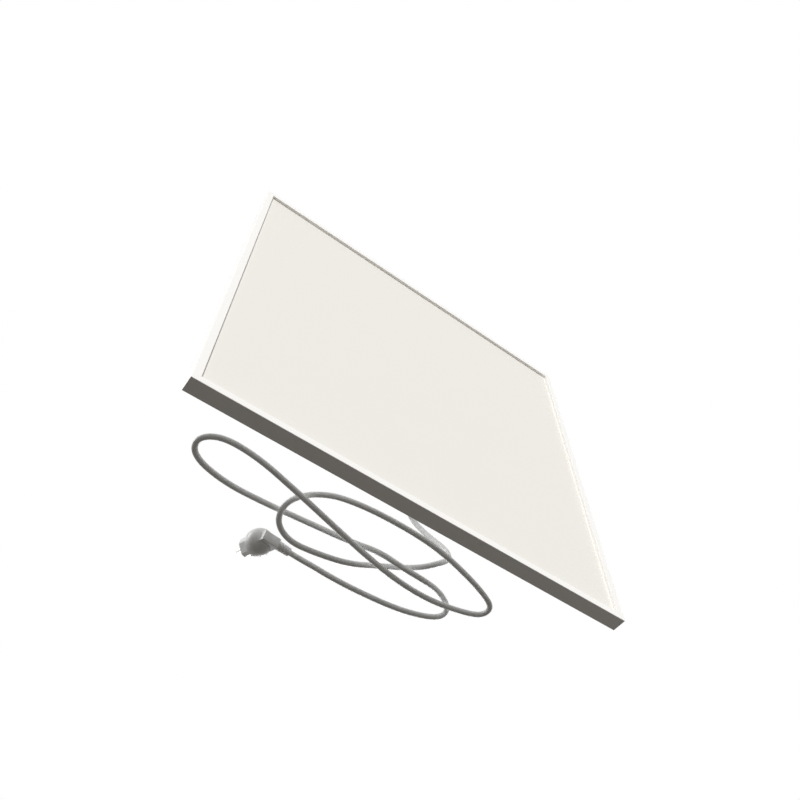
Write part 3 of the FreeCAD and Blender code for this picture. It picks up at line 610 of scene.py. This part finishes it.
def add_bushing():
    """A turned collar and neck, then a sleeve whose radius falls evenly to its tip. Slots are cut in rings:
    within a ring's share of its pitch the radius drops by a share of itself, except at two bridges,
    and the bridges of each ring stand a quarter turn from those of the next."""
    start_depth, start_radius = bushing_outline[-1]
    along = np.linspace(0, 1, sleeve_rows + 1)[1:]
    collar = np.array(bushing_outline)
    sleeve_depth = start_depth + along * (sleeve_tip - start_depth)
    sleeve_radius = start_radius + along * (sleeve_tip_radius - start_radius)
    depth = np.concatenate([collar[:, 0], sleeve_depth])
    radius = np.concatenate([collar[:, 1], sleeve_radius])
    angle = np.linspace(0, 2 * math.pi, sleeve_turns, endpoint=False)
    phase = along * (slot_rings + middle_share)
    number = np.floor(phase)
    in_band = inside_of(slot_share / 2 - abs(phase - number - middle_share), slot_edge)
    in_band[number >= slot_rings] = 0
    bridge = abs(np.sin(angle[None, :] + number[:, None] * math.pi / 2))
    cut = in_band[:, None] * smooth_step((bridge - slot_opening) / slot_edge)
    wall = np.repeat(radius[:, None], sleeve_turns, 1)
    wall[len(bushing_outline):] *= 1 - slot_depth_share * cut
    rings = np.stack([
        bushing_x + wall * np.cos(angle),
        np.repeat(depth[:, None], sleeve_turns, 1),
        bushing_z + wall * np.sin(angle),
    ], -1)
    poles = np.array([[bushing_x, depth[0], bushing_z], [bushing_x, depth[-1], bushing_z]])
    points = np.concatenate([rings.reshape(-1, 3), poles])
    rows = len(depth)
    groups = [stacked_faces(rows, sleeve_turns), pole_faces(rows, sleeve_turns)]
    add_piece("bushing_sleeve", points, groups, "cord_bushing", "cord_white")


def add_inserts():
    """Flanged sleeves along Y, each a ring profile whose last row joins the first. Inside, the bore's radius
    is the core's plus the thread's depth times a groove that comes and goes once per pitch and moves one
    pitch with each turn. Towards the mouth the ridges run out to the groove's full radius."""
    angle = np.linspace(0, 2 * math.pi, insert_turns, endpoint=False)
    outside = np.array([
        (insert_flange_back, bore_radius + thread_depth + bore_chamfer),
        (insert_flange_back, insert_flange_radius - insert_flange_edge),
        (insert_flange_back - insert_flange_edge, insert_flange_radius),
        (back_face, insert_flange_radius),
        (back_face, insert_body_radius),
        (insert_front, insert_body_radius),
    ])
    bore_depth = np.linspace(insert_front, insert_flange_back - bore_chamfer, thread_rows)
    phase = bore_depth[:, None] / thread_pitch + angle[None, :] / (2 * math.pi)
    ridge = 1 - abs(2 * (phase - np.floor(phase)) - 1)
    ridge *= smooth_step((bore_depth[-1] - bore_depth[:, None]) / thread_run_out)
    bore = bore_radius + thread_depth * (1 - ridge)
    radius = np.concatenate([np.repeat(outside[:, 1:], insert_turns, 1), bore])
    depth = np.concatenate([outside[:, 0], bore_depth])
    size = radius.size
    joined = stacked_faces(len(depth) + 1, insert_turns) % size
    points = []
    faces = []
    for number, (x, z) in enumerate(insert_places):
        rings = np.stack([
            x + radius * np.cos(angle),
            np.repeat(depth[:, None], insert_turns, 1),
            z + radius * np.sin(angle),
        ], -1)
        points.append(rings.reshape(-1, 3))
        faces.append(number * size + joined)
    groups = [np.concatenate(faces)]
    add_piece("threaded_inserts", np.concatenate(points), groups, "mounting_inserts", "screw_steel")


# Camera, light and floor
make_camera()
make_world()
make_floor()
make_sun("key", key_strength, key_from, key_softness)
make_sun("side", side_strength, side_from, fill_softness)
make_sun("back", back_strength, back_from, fill_softness)

# Materials of the solids
shared_finish = surface_group()
finishes = {}
for slot, (kind, colour, tint) in slot_finishes.items():
    finishes[slot] = finish(slot, kinds[kind], colour, tint)
for subpart in frame["record"]["subparts"]:
    dress(subpart["node"], finishes[subpart["material_slot"]])

# Pieces that stand for solids
make_cord(finishes["cord_white"])
add_screws("cover_screw_set", cover_screw_places, back_face, cover_shank, "cover_screws")
add_screws("box_screw_set", box_screw_places, box_screw_seat, box_shank, "terminal_cover_screws")
add_bushing()
add_inserts()
